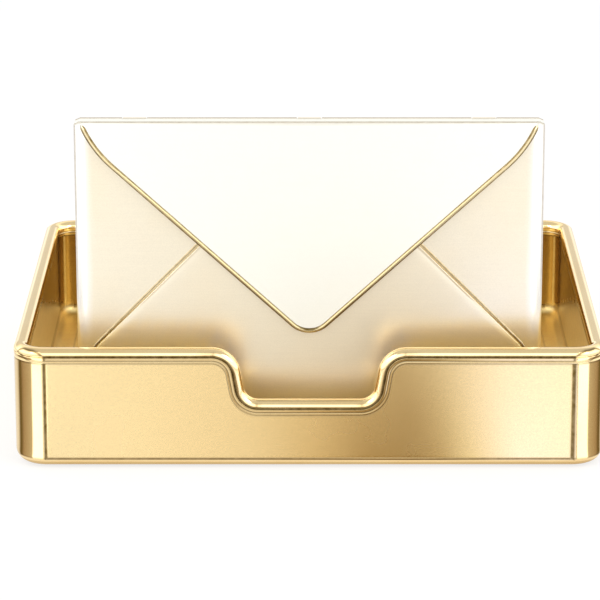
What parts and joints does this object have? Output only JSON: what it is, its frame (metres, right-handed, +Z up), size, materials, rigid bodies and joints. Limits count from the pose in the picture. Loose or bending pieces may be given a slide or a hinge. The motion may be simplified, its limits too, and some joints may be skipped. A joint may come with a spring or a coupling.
{
  "type": "letter tray with envelope",
  "caption": "Open double-walled brass letter tray with a thick round rim, rounded corners and a finger notch in its front wall, holding an upright lift-out envelope pouch with a hinged flap",
  "frame": {"origin": "on the desk under the middle of the tray", "axes": "+Z up, -Y to the notched front, +X to the right seen from the front"},
  "size_m": [0.205, 0.1722, 0.1195],
  "materials": {
    "polished_brass": "mirror-polished brass",
    "brushed_brass": "brushed brass",
    "steel": "plain steel fixings",
    "foot_rubber": "matt rubber pads",
    "pearl_lacquer": "satin champagne pearl lacquer",
    "ivory_lacquer": "satin ivory pearl lacquer",
    "gilt_piping": "polished gilt edging"
  },
  "bodies": {
    "tray": {"outer_shell": "polished_brass", "inner_tub": "polished_brass", "rim_moulding": "polished_brass", "base_plate": "brushed_brass", "standoffs": "steel", "base_screws": "steel", "foot_pad_front_left": "foot_rubber", "foot_pad_front_right": "foot_rubber", "foot_pad_back_left": "foot_rubber", "foot_pad_back_right": "foot_rubber", "envelope_channel": "brushed_brass", "channel_studs": "steel", "channel_nuts": "steel"},
    "envelope": {"back_panel": "pearl_lacquer", "side_flap_left": "pearl_lacquer", "side_flap_right": "pearl_lacquer", "bottom_flap": "pearl_lacquer", "seam_piping_left": "gilt_piping", "seam_piping_right": "gilt_piping", "hinge_pin": "gilt_piping"},
    "flap": {"flap_panel": "ivory_lacquer", "flap_piping": "gilt_piping", "flap_spine": "ivory_lacquer"}
  },
  "joints": [
    {"name": "envelope_lift", "type": "slide", "parent": "tray", "child": "envelope", "axis": [0, 0, 1], "range_m": [0, 0.045]},
    {"name": "flap_hinge", "type": "hinge", "parent": "envelope", "child": "flap", "pos_m": [0, -0.0618, 0.1184], "axis": [-1, 0, 0], "range_deg": [0, 180]}
  ]
}
